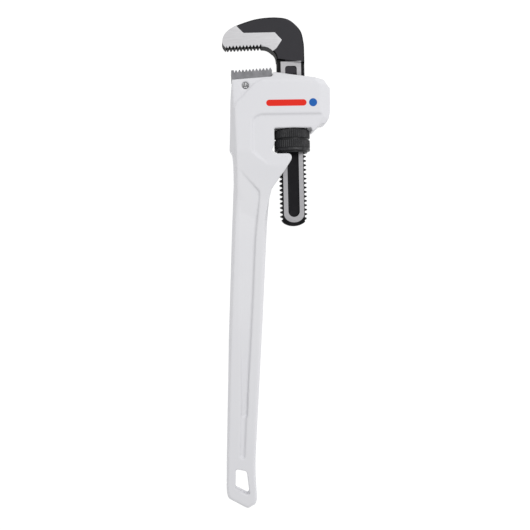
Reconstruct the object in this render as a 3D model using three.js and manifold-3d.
// Pipe wrench lying flat. Millimetres, +Z up. The handle runs along X with the head toward +X, the jaws open
// toward +Y, and Z is the thickness. All shapes are drawn round the centre of the adjusting nut, then shifted.
import * as THREE from 'three';
import { mergeVertices } from 'three/addons/utils/BufferGeometryUtils.js';
import Module from 'manifold-3d';

const wasm = await Module();
wasm.setup();

// driving sizes
const HEAD_HALF = 30; // half thickness of the housing
const RECESS = 3; // depth of the lowered field round the nut and at the pin corner
const FLANGE_HALF = 18; // half thickness of the handle just under the head
const TAIL_HALF = 14; // half thickness at the hanging eye
const WEB_HALF = 12.5; // half thickness of the web between the flanges, just under the head
const HANDLE_END = -605; // far end of the handle, along X from the nut
const NECK_END = -140; // where the neck has run into the handle
const NUT_RADIUS = 29.6;
const NUT_TOP = 16.6; // top and foot of the nut, along X
const NUT_FOOT = -18.5;
const COLLAR = 3; // height of the collar under the nut
const RIBS = 50;
const PITCH = 7.35; // thread pitch
const THREAD_TOP = 62; // where the thread runs out under the hook
const SHANK_RADIUS = 23.3; // smooth part of the shank
const SHANK_HALF = 10.8; // ground flats of the shank
const CREST = 22.6;
const ROOT = 17.9; // flat sides of the shank between the thread's ridges
const CORE = 19.9; // round corners of the same
const SHANK_END = -142;
const HOOK_HALF = 15.5; // half thickness of the hook
const PAD = 0.7; // raised ground pad on each face of the hook
const HEEL_HALF = 16;
const TOOTH = 5.62; // tooth pitch of both jaws
const HOOK_TEETH = 10;
const HEEL_TEETH = 11;
const TOOTH_DEPTH = 4.2;
const PIN_RADIUS = 5;
const TANG_HALF = 9;
const LEAF = 1.5; // thickness of the flat spring
const LEAF_HALF = 8;
const COIL_RADIUS = 5.4;
const WIRE = 1.8; // coil wire diameter

// clearances
const GAP = 0.3; // between pieces that touch in the real thing
const THREAD_GAP = 0.5; // radial and axial, so the nut runs free
const SIDE_GAP = 1.2; // shank flats to the tunnel and the fork
const ROCK = THREE.MathUtils.degToRad(2); // how far the hook jaw tips under load
const ROCK_GAP = 0.6;

// mesh helpers
const toSolid = (geometry) => {
  geometry.deleteAttribute('normal');
  geometry.deleteAttribute('uv');
  const joined = mergeVertices(geometry, 1e-4);
  const vertProperties = new Float32Array(joined.attributes.position.array);
  const triVerts = new Uint32Array(joined.index.array);
  return new wasm.Manifold(new wasm.Mesh({ numProp: 3, vertProperties, triVerts }));
};
const toMesh = (name, solid, colour, roughness, metalness) => {
  const shape = solid.getMesh();
  const geometry = new THREE.BufferGeometry();
  const points = new Float32Array(shape.vertProperties);
  geometry.setAttribute('position', new THREE.BufferAttribute(points, 3));
  geometry.setIndex(new THREE.BufferAttribute(new Uint32Array(shape.triVerts), 1));
  geometry.computeVertexNormals();
  const material = new THREE.MeshStandardMaterial({ color: colour, roughness, metalness });
  const mesh = new THREE.Mesh(geometry, material);
  mesh.name = name;
  return mesh;
};
const outline = (points) => new THREE.Shape(points.map(([x, y]) => new THREE.Vector2(x, y)));
// drops points that nearly repeat, which curves leave where they join
const cleaned = (shape, divisions) => {
  const kept = [];
  for (const point of shape.getPoints(divisions)) {
    const last = kept[kept.length - 1];
    if (!last || last.distanceTo(point) > 0.05) {
      kept.push(point);
    }
  }
  if (kept[0].distanceTo(kept[kept.length - 1]) < 0.05) {
    kept.pop();
  }
  return new THREE.Shape(kept);
};
// a plate drawn in the XY plane, from z = low to z = high, with both rims bevelled inward
const plate = (shape, low, high, rim = 0, deep = 0, divisions = 6) => {
  const geometry = new THREE.ExtrudeGeometry(cleaned(shape, divisions), {
    depth: high - low - 2 * deep,
    bevelEnabled: rim > 0,
    bevelThickness: deep,
    bevelSize: rim,
    bevelOffset: -rim,
    bevelSegments: 1,
  });
  geometry.translate(0, 0, low + deep);
  return toSolid(geometry);
};
const both = (shape, half, rim = 0, deep = 0) => plate(shape, -half, half, rim, deep);
const box = (x0, x1, y0, y1, z0, z1) => {
  const geometry = new THREE.BoxGeometry(x1 - x0, y1 - y0, z1 - z0);
  geometry.translate((x0 + x1) / 2, (y0 + y1) / 2, (z0 + z1) / 2);
  return toSolid(geometry);
};
// a turned solid on the X axis from a profile of [radius, x], ends on the axis
const turnedX = (profile, sides) => {
  const points = profile.map(([r, x]) => new THREE.Vector2(r, x));
  const geometry = new THREE.LatheGeometry(points, sides);
  geometry.rotateZ(-Math.PI / 2);
  return toSolid(geometry);
};
const rodX = (radius, x0, x1, sides) => turnedX([[0, x0], [radius, x0], [radius, x1], [0, x1]], sides);
const rodY = (radius, y0, y1, x, sides) => {
  const geometry = new THREE.CylinderGeometry(radius, radius, y1 - y0, sides);
  geometry.translate(x, (y0 + y1) / 2, 0);
  return toSolid(geometry);
};
const rodZ = (radius, half, x, y, sides) => {
  const geometry = new THREE.CylinderGeometry(radius, radius, 2 * half, sides);
  geometry.rotateX(Math.PI / 2);
  geometry.translate(x, y, 0);
  return toSolid(geometry);
};
// a large block whose face holds the three points and which lies beyond them, as seen from the nut
const beyond = (...corners) => {
  const [a, b, c] = corners.map((corner) => new THREE.Vector3(...corner));
  const normal = new THREE.Vector3().crossVectors(b.clone().sub(a), c.clone().sub(a)).normalize();
  if (normal.dot(a) < 0) {
    normal.negate();
  }
  const geometry = new THREE.BoxGeometry(1600, 1600, 80);
  geometry.translate(0, 0, 40);
  geometry.applyQuaternion(new THREE.Quaternion().setFromUnitVectors(new THREE.Vector3(0, 0, 1), normal));
  geometry.translate(a.x, a.y, a.z);
  return toSolid(geometry);
};
// enlarges a faceted hole so that its flats clear a round pin
const holed = (radius, sides) => radius / Math.cos(Math.PI / sides);

// a right-hand helix with exact radial frames; place(r, angle, run) puts it on its axis
class Helix extends THREE.Curve {
  constructor(place, radius, from, turns, pitch, phase) {
    super();
    Object.assign(this, { place, radius, from, turns, pitch, phase });
  }
  getPoint(t, target = new THREE.Vector3()) {
    const angle = this.phase + 2 * Math.PI * this.turns * t;
    return this.place(this.radius, angle, this.from + this.pitch * this.turns * t, target);
  }
  getPointAt(t, target) {
    return this.getPoint(t, target);
  }
  computeFrenetFrames(segments) {
    const frames = { tangents: [], normals: [], binormals: [] };
    for (let i = 0; i <= segments; i += 1) {
      const angle = this.phase + 2 * Math.PI * this.turns * (i / segments);
      const centre = this.place(0, angle, 0, new THREE.Vector3());
      const normal = this.place(1, angle, 0, new THREE.Vector3()).sub(centre);
      const binormal = centre.sub(this.place(0, angle, 1, new THREE.Vector3()));
      frames.normals.push(normal);
      frames.binormals.push(binormal);
      frames.tangents.push(new THREE.Vector3().crossVectors(normal, binormal));
    }
    return frames;
  }
}
const aboutX = (r, angle, run, target) => target.set(run, r * Math.cos(angle), r * Math.sin(angle));
const sweep = (section, curve, steps) => toSolid(
  new THREE.ExtrudeGeometry(section, { extrudePath: curve, steps, bevelEnabled: false }),
);

// thread: a trapezoid ridge, grown by a margin for the groove in the nut
const ridge = (from, turns, margin, steps) => {
  const foot = PITCH * 0.42 + margin;
  const tip = PITCH * 0.13 + margin;
  const low = ROOT - 1.2;
  const high = CREST + margin;
  const section = outline([[low, -foot], [high, -tip], [high, tip], [low, foot]]);
  const phase = (2 * Math.PI * (from - 6.25)) / PITCH; // the crests pass +Y at x = 6.25 plus whole pitches
  return sweep(section, new Helix(aboutX, 0, from, turns, PITCH, phase), Math.round(turns * steps));
};

// toothed edge from one end to the other: count teeth of the jaw pitch, points up by depth on the side given
const toothed = (x0, y0, slope, count, depth) => {
  const points = [];
  for (let i = 0; i < count; i += 1) {
    const y = y0 - i * TOOTH;
    const x = x0 + (y0 - y) * slope;
    points.push([x, y]);
    points.push([x + depth, y - TOOTH * 0.42]);
    points.push([x + depth, y - TOOTH * 0.58]);
  }
  points.push([x0 + count * TOOTH * slope, y0 - count * TOOTH]);
  return points;
};

// ---- handle casting
const headSide = (x) => 101.2 - 0.036 * (x - 50); // outer edge of the head, nearly straight
const seatSlope = 0.0765; // rise of the heel jaw seat toward the shank
const seat = (y) => 97.6 + (97.6 - y) * seatSlope;
const headShape = outline([
  [-24, 99.4], [-19.5, 101], [-16, 103.9], [35, headSide(35)], [68, headSide(68)],
  [seat(98), 98], [seat(31.5), 31.5], [110.5, 31], [111, 25.6], [106.7, 2.6], [99.9, -40], [97.2, -53.6],
  [86.6, -59.4], [83.6, -63], [64, -62.9], [44.4, -62.4], [34.5, -60.4], [27.9, -57], [24.2, -53],
  [23.6, -46], [16.6, -38.6], [13, -34.6], [13, 20], [-24, 38.8],
]);
const neckShape = outline([
  [-19.5, 101], [-24, 99.4], [-40, 98.2], [-75, 98.4], [NECK_END, 101], [NECK_END, 51.5],
  [-81, 36.8], [-63.6, 24.4], [-51, 14.6], [-34.6, 3.9], [-30, 2.7], [-26, 4], [-23.7, 7.4], [-23.7, 30],
  [-17, 36], [-17, 92],
]);
const neckFacet = [[-17, 93.2, HEAD_HALF], [-98, 93.5, 19.5], [-60, 98.3, 14]];
// along(part) runs from the neck, 0, to the start of the eye, 1; tail(x) counts back from the far end
const tail = (x) => HANDLE_END + x;
const along = (part) => NECK_END + (tail(105) - NECK_END) * part;
const handleShape = new THREE.Shape();
handleShape.moveTo(-60, 97.9);
handleShape.lineTo(-60, 24);
handleShape.lineTo(-81, 36.9);
handleShape.quadraticCurveTo(-95, 41.5, NECK_END, 45.2);
handleShape.lineTo(along(0.44), 56.1);
handleShape.lineTo(along(1), 71);
handleShape.quadraticCurveTo(tail(70), 73.9, tail(45), 72.8);
handleShape.lineTo(tail(18), 71.8);
handleShape.quadraticCurveTo(tail(5), 72.2, tail(4), 80);
handleShape.quadraticCurveTo(tail(-1.6), 86.6, tail(1.6), 91);
handleShape.lineTo(tail(16.5), 117.3);
handleShape.quadraticCurveTo(tail(21), 121.2, tail(31), 121.4);
handleShape.lineTo(tail(73), 120.4);
handleShape.lineTo(along(0.5), 111.9);
handleShape.lineTo(NECK_END, 102.5);
handleShape.quadraticCurveTo(-95, 99.6, -60, 97.9);
// thickness seen from the side, half of it mirrored below
const thickness = [
  [115, HEAD_HALF], [-20, HEAD_HALF], [-44, HEAD_HALF - RECESS], [-98, FLANGE_HALF + 1],
  [NECK_END, FLANGE_HALF],
  [tail(85), TAIL_HALF + 1], [tail(-10), TAIL_HALF],
];
const sideShape = outline([
  ...thickness,
  ...thickness.map(([x, z]) => [x, -z]).reverse(),
]);
const side = new THREE.ExtrudeGeometry(sideShape, { depth: 260, bevelEnabled: false });
side.rotateX(Math.PI / 2);
side.translate(0, 170, 0);
const recessShape = outline([
  [41.4, -90], [41.4, 51.4], [38.8, 59.4], [34, 65.6], [27.5, 67.4], [-20.5, 68.2], [-33.7, 53.6], [-50, 36],
  [-50, -90],
]);
const cornerShape = outline([
  [130, 26], [106, 31], [95.2, 50], [90, 61.5], [82.8, 68.2], [69, 80.7], [59.4, 91.5], [54, 93],
  [40, 115], [130, 115],
]);
const forkTop = NUT_FOOT - COLLAR - 2.2;
const windowShape = outline([
  [13, -120], [13, -NUT_RADIUS - 1.3], [NUT_TOP + 1.3, -NUT_RADIUS - 1.3], [NUT_TOP + 1.3, NUT_RADIUS + 1.1],
  [forkTop, NUT_RADIUS + 1.1], [forkTop, -120],
]);
const rise = (x) => x * Math.tan(ROCK);
const tunnelShape = outline([
  [NUT_TOP, SHANK_RADIUS + GAP], [130, SHANK_RADIUS + GAP],
  [130, -SHANK_RADIUS - ROCK_GAP - rise(130)], [NUT_TOP, -SHANK_RADIUS - ROCK_GAP - rise(NUT_TOP)],
]);
// wider mouth of the tunnel, which takes in the foot of the hook when the jaws close
const mouthShape = outline([
  [86, SHANK_RADIUS + GAP], [92, 25], [112, 29], [130, 29], [130, -SHANK_RADIUS - 9], [86, -SHANK_RADIUS - 4],
]);
const leafY = -SHANK_RADIUS - GAP; // face of the leaf toward the shank
const leafFrom = 36;
const leafTo = 96;
const coilX = 66;
const coilEnd = leafY - 16;
const channelShape = new THREE.Shape();
channelShape.moveTo(-49, 87.6);
channelShape.lineTo(-85, 56.4);
channelShape.lineTo(-100, 57);
channelShape.lineTo(-164, 64.1);
channelShape.lineTo(along(0.34), 69.9);
channelShape.lineTo(along(0.61), 76.4);
channelShape.lineTo(along(0.88), 84.2);
channelShape.lineTo(tail(83), 88);
channelShape.lineTo(tail(79), 94);
channelShape.lineTo(tail(85), 101);
channelShape.lineTo(along(0.79), 96.4);
channelShape.lineTo(along(0.34), 93.4);
channelShape.lineTo(-106, 89.8);
const innerShape = outline([
  [along(0.5), 77.5], [along(0.5), 92], [along(0.87), 94.2], [along(0.875), 92], [along(0.875), 86.5],
  [along(0.87), 84.6],
]);
// a point of the web's face, which leans: thickest at the outer flange, and sunk by more when asked
const webAt = (x, y, sunk = 0) => [x, y, WEB_HALF + (y - 58) / 6 + (x + 106) * 0.018 - sunk];
const holeShape = new THREE.Shape();
holeShape.moveTo(tail(62), 106);
holeShape.lineTo(tail(37), 106.8);
holeShape.quadraticCurveTo(tail(32.5), 106.8, tail(31.4), 103);
holeShape.lineTo(tail(23), 88);
holeShape.quadraticCurveTo(tail(22), 84, tail(27), 84);
holeShape.lineTo(tail(58), 87.4);
holeShape.quadraticCurveTo(tail(61.5), 87.8, tail(62.4), 91.5);
holeShape.lineTo(tail(65), 103);
holeShape.quadraticCurveTo(tail(65.5), 105.8, tail(62), 106);
const tangFrom = 60; // span of the tang across, and how deep it goes
const tangTo = 92;
const tangDeep = 75.5;
const pinX = 88.1;
const pinY = 76.4;

// facets that narrow the head toward its faces: outer side, top, corner of the arm, end of the arm
const facets = [
  [[-17, 93.2, 1], [92, 95.4, 1], [-16, 103.9, 0.4]],
  [[95, 50, 1], [95, -40, 1], [111, 30, 0.6]],
  [[95, -38.5, 1], [88, -46.5, 1], [92, -59, 0.62]],
  [[80, -46, 1], [35, -45.4, 1], [60, -62.9, 0.62]],
  [[36, -45.4, 1], [26, -38, 1], [25, -57, 0.62]],
];
let head = both(headShape, HEAD_HALF);
for (const facet of facets) {
  for (const sign of [1, -1]) {
    head = head.subtract(beyond(...facet.map(([x, y, part]) => [x, y, part * sign * HEAD_HALF])));
  }
}
let neck = both(neckShape, HEAD_HALF, 1.2, 4.4);
for (const sign of [1, -1]) {
  neck = neck.subtract(beyond(...neckFacet.map(([x, y, z]) => [x, y, sign * z])));
}
let casting = head
  .add(neck)
  .intersect(toSolid(side))
  .add(both(handleShape, FLANGE_HALF, 5, 8).intersect(toSolid(side.clone())));
for (const sign of [1, -1]) {
  const level = (shape, low, rim, deep) => {
    const cutter = plate(shape, low, low + 60, rim, deep);
    return sign > 0 ? cutter : cutter.rotate([180, 0, 0]).mirror([0, 1, 0]);
  };
  casting = casting.subtract(level(recessShape, HEAD_HALF - RECESS, 2, 3));
  casting = casting.subtract(level(cornerShape, HEAD_HALF - RECESS, 2, 3));
  const leaning = (places) => beyond(...places.map(([x, y, z]) => [x, y, sign * z]));
  casting = casting.subtract(level(channelShape, WEB_HALF - 2.5, 4.6, 8)
    .intersect(leaning([webAt(-106, 58), webAt(-106, 88), webAt(-457, 84)]))
    .intersect(leaning([[-130, 60, 12.5], [-130, 100, 17], [-55, 80, 24]])));
  casting = casting.subtract(level(innerShape, 2, 0, 0)
    .intersect(leaning([webAt(along(0.5), 77), webAt(along(0.5), 92), webAt(along(0.87), 88, 2)])));
}
casting = casting
  .subtract(both(holeShape, 40))
  .subtract(both(windowShape, 60))
  .subtract(both(tunnelShape, SHANK_HALF + SIDE_GAP))
  .subtract(both(mouthShape, HOOK_HALF + SIDE_GAP))
  .subtract(box(-110, -20, -60, 30, -SHANK_HALF - SIDE_GAP - 0.6, SHANK_HALF + SIDE_GAP + 0.6))
  .subtract(box(leafFrom - 3, leafTo + 4, leafY - LEAF - 6, 0, -LEAF_HALF - 2, LEAF_HALF + 2))
  .subtract(rodY(COIL_RADIUS + WIRE, coilEnd, 0, coilX, 24))
  .subtract(box(tangDeep, 130, tangFrom - GAP, tangTo + GAP, -TANG_HALF - GAP, TANG_HALF + GAP))
  .subtract(rodZ(holed(PIN_RADIUS + GAP, 24), 60, pinX, pinY, 24))
  .subtract(rodZ(PIN_RADIUS + 1.3, 60, pinX, pinY, 24)
    .subtract(box(40, 140, 0, 140, -HEAD_HALF + RECESS + 2.5, HEAD_HALF - RECESS - 2.5)));

// ---- hook jaw
const toothLine = 155.2; // root line of the hook's teeth at the tip
const hookShape = new THREE.Shape();
hookShape.moveTo(129, SHANK_RADIUS);
hookShape.lineTo(124, -SHANK_RADIUS + 0.9);
hookShape.lineTo(150, -22.3);
hookShape.splineThru([
  new THREE.Vector2(160, -21.6), new THREE.Vector2(177.2, -17.8), new THREE.Vector2(190.4, -7.4),
  new THREE.Vector2(198.5, 4.5), new THREE.Vector2(201.3, 20), new THREE.Vector2(201.2, 38),
  new THREE.Vector2(198.7, 57), new THREE.Vector2(193.2, 76), new THREE.Vector2(186.2, 93.5),
  new THREE.Vector2(177.7, 105.4), new THREE.Vector2(170, 110.6), new THREE.Vector2(162, 112.2),
  new THREE.Vector2(156, 110.4), new THREE.Vector2(151.6, 106.4),
]);
hookShape.lineTo(153.4, 47);
hookShape.splineThru([
  new THREE.Vector2(152.8, 41), new THREE.Vector2(150, 34.6), new THREE.Vector2(144, 28),
  new THREE.Vector2(138, 24.3), new THREE.Vector2(131, 23.4),
]);
const hookTeeth = toothed(toothLine, 105.8, 0.034, HOOK_TEETH, -TOOTH_DEPTH);
const hookTeethShape = outline([
  ...hookTeeth, [hookTeeth.at(-1)[0] - 4, hookTeeth.at(-1)[1] - 2], [140, hookTeeth.at(-1)[1]], [140, 105.8],
]);
const padShape = outline([
  [192, 92], [185.7, 86], [176.4, 76.7], [177, 25.5], [164, 13.6], [150.3, 22.8], [146, 28], [140, 50],
  [140, 120], [192, 120],
]);
const slotShape = new THREE.Shape();
slotShape.moveTo(117, 9.6);
slotShape.quadraticCurveTo(122, 9.6, 122, 4.6);
slotShape.lineTo(122, -4.6);
slotShape.quadraticCurveTo(122, -9.6, 117, -9.6);
slotShape.lineTo(-118, -9.4);
slotShape.absarc(-118, 0, 9.4, -Math.PI / 2, Math.PI / 2, true);
const stepShape = outline([[124, 60], [133.5, 24], [133, 18], [128, -17], [126.5, -60], [60, -60], [60, 60]]);
// the shank's blunt round end, whose rim slopes off
const endShape = new THREE.Shape();
endShape.moveTo(150, 40);
endShape.lineTo(SHANK_END + 14, 40);
endShape.lineTo(SHANK_END + 13, 21.6);
endShape.absellipse(SHANK_END + 13, 0, 13, 21, Math.PI / 2, 1.5 * Math.PI, false);
endShape.lineTo(SHANK_END + 14, -40);
endShape.lineTo(150, -40);
const shankFlats = both(endShape, SHANK_HALF, 4, 4);
const shank = turnedX([
  [0, SHANK_END - 2], [CORE, SHANK_END - 2], [CORE, THREAD_TOP - 4], [SHANK_RADIUS, THREAD_TOP],
  [SHANK_RADIUS, 150], [0, 150],
], 40)
  .subtract(box(SHANK_END - 5, THREAD_TOP - 4, ROOT, 40, -40, 40))
  .subtract(box(SHANK_END - 5, THREAD_TOP - 4, -40, -ROOT, -40, 40));
const threadTurns = (THREAD_TOP - SHANK_END) / PITCH;
const envelope = turnedX([
  [0, SHANK_END - 1], [CREST, SHANK_END - 1], [CREST, THREAD_TOP - 1], [0, THREAD_TOP - 1],
], 48);
let hook = ridge(SHANK_END - 4, threadTurns + 1, 0, 14)
  .intersect(envelope)
  .add(shank)
  .intersect(shankFlats)
  .add(both(hookShape, HOOK_HALF, 2.2, 2.2).subtract(
    plate(stepShape, SHANK_HALF, 40, 2, 2).add(plate(stepShape, -40, -SHANK_HALF, 2, 2)),
  ))
  .add(both(padShape, HOOK_HALF + PAD, PAD, PAD).intersect(both(hookShape, HOOK_HALF + PAD)));
hook = hook.subtract(both(hookTeethShape, 40));
for (const low of [SHANK_HALF - 2, -40]) {
  hook = hook.subtract(plate(slotShape, low, low + 40 - SHANK_HALF + 2, 1.2, 1.5));
}

// ---- heel jaw, its tang and its pin
const heelTop = 111.2; // root line of the heel's teeth at the far side
const heelShape = outline([
  [seat(97.6) + GAP, 98.2], [heelTop + 3.6, 98.6], [heelTop + 3.8, 94.6],
  ...toothed(heelTop - 0.4, 93.5, 0.058, HEEL_TEETH, TOOTH_DEPTH * 1.05),
  [seat(31.9) + GAP, 31.9],
]);
const heel = both(heelShape, HEEL_HALF)
  .add(box(tangDeep + GAP, 106, tangFrom, tangTo, -TANG_HALF, TANG_HALF)
    .intersect(plate(outline([[70, 50], [70, 96], [seat(96) + 1, 96], [seat(50) + 1, 50]]), -20, 20)))
  .subtract(rodZ(holed(PIN_RADIUS + GAP, 24), 60, pinX, pinY, 24));
// the pin is a rolled strip: a split ring round a core, joined on one side
const pinRing = new THREE.Shape();
pinRing.absarc(0, 0, PIN_RADIUS, 0.16, 2 * Math.PI - 0.16, false);
pinRing.absarc(0, 0, PIN_RADIUS - 1.6, 2 * Math.PI - 0.26, 4.1, true);
pinRing.absarc(0, 0, PIN_RADIUS - 2.3, 4.1, 2.2 + 2 * Math.PI, false);
pinRing.absarc(0, 0, PIN_RADIUS - 1.6, 2.2, 0.26, true);
const pinHalf = HEAD_HALF - RECESS - GAP;
const rollPin = plate(pinRing, -pinHalf, pinHalf, 0, 0, 20).rotate([0, 0, 130]).translate([pinX, pinY, 0]);

// ---- adjusting nut
const ribbed = (radius, x0, x1) => {
  const points = [];
  for (let i = 0; i < RIBS; i += 1) {
    const angle = (2 * Math.PI * i) / RIBS;
    const half = Math.PI / RIBS;
    for (const [turn, r] of [[-0.5 * half, radius], [0.5 * half, radius], [half, radius - 1]]) {
      points.push([r * Math.cos(angle + turn), r * Math.sin(angle + turn)]);
    }
  }
  return plate(outline(points), x0, x1, 0.6, 0.6).rotate([0, 90, 0]);
};
const nutBody = turnedX([
  [0, NUT_FOOT - COLLAR], [NUT_RADIUS - 4.6, NUT_FOOT - COLLAR], [NUT_RADIUS - 4.6, NUT_FOOT],
  [NUT_RADIUS - 1, NUT_FOOT], [NUT_RADIUS, NUT_FOOT + 1], [NUT_RADIUS, NUT_FOOT + 4.5],
  [NUT_RADIUS - 1.6, NUT_FOOT + 5.2], [NUT_RADIUS - 1.6, NUT_TOP - 0.6], [NUT_RADIUS - 4, NUT_TOP],
  [0, NUT_TOP],
], 60);
const bore = holed(CORE + THREAD_GAP, 40);
const nut = nutBody
  .add(ribbed(NUT_RADIUS, NUT_FOOT + 5, -0.4))
  .add(ribbed(NUT_RADIUS, 2, NUT_TOP - 1))
  .subtract(rodX(bore, -40, 40, 40))
  .subtract(ridge(-PITCH * 4, 8, THREAD_GAP, 20));

// ---- springs behind the shank
const leafShape = new THREE.Shape();
leafShape.moveTo(leafFrom, leafY - 1.2);
leafShape.lineTo(leafFrom + 6, leafY);
leafShape.lineTo(leafTo - 6, leafY);
leafShape.lineTo(leafTo, leafY - 1.2);
leafShape.lineTo(leafTo, leafY - 1.2 - LEAF);
leafShape.lineTo(leafTo - 6, leafY - LEAF);
leafShape.lineTo(leafFrom + 6, leafY - LEAF);
leafShape.lineTo(leafFrom, leafY - 1.2 - LEAF);
const leaf = both(leafShape, LEAF_HALF);
const postTop = leafY - LEAF - GAP;
const post = rodY(COIL_RADIUS - WIRE - 0.4, postTop - 8.5, postTop, coilX, 20);
const aboutY = (r, angle, run, target) => target.set(
  coilX + r * Math.sin(angle), run, r * Math.cos(angle),
);
const wireRound = new THREE.Shape();
wireRound.absarc(0, 0, WIRE / 2, 0, 2 * Math.PI, false);
const coilTurns = 4;
const coilFrom = coilEnd + GAP + WIRE / 2;
const coilRun = (postTop - WIRE / 2 - coilFrom) / coilTurns;
const coilGeometry = new THREE.ExtrudeGeometry(wireRound, {
  extrudePath: new Helix(aboutY, COIL_RADIUS - WIRE / 2, coilFrom, coilTurns, coilRun, 0),
  steps: coilTurns * 18,
  bevelEnabled: false,
  curveSegments: 4,
});
const coil = toSolid(coilGeometry);

const group = new THREE.Group();
group.name = 'pipe_wrench';
group.add(toMesh('handle_casting', casting, '#e4e4e8', 0.45, 0.1));
group.add(toMesh('hook_jaw', hook, '#2c2b2e', 0.5, 0.4));
group.add(toMesh('heel_jaw', heel, '#6f6f72', 0.45, 0.8));
group.add(toMesh('heel_jaw_pin', rollPin, '#77777a', 0.4, 0.9));
group.add(toMesh('adjusting_nut', nut, '#303034', 0.5, 0.5));
group.add(toMesh('flat_spring', leaf, '#8a8a8e', 0.35, 0.9));
group.add(toMesh('coil_spring', coil, '#8a8a8e', 0.35, 0.9));
group.add(toMesh('spring_pin', post, '#8a8a8e', 0.35, 0.9));

// the origin is under the middle of the part, at the height of its lowest point
const bounds = new THREE.Box3().setFromObject(group);
const middle = bounds.getCenter(new THREE.Vector3());
for (const mesh of group.children) {
  mesh.geometry.translate(-middle.x, -middle.y, -bounds.min.z);
}

export default group;
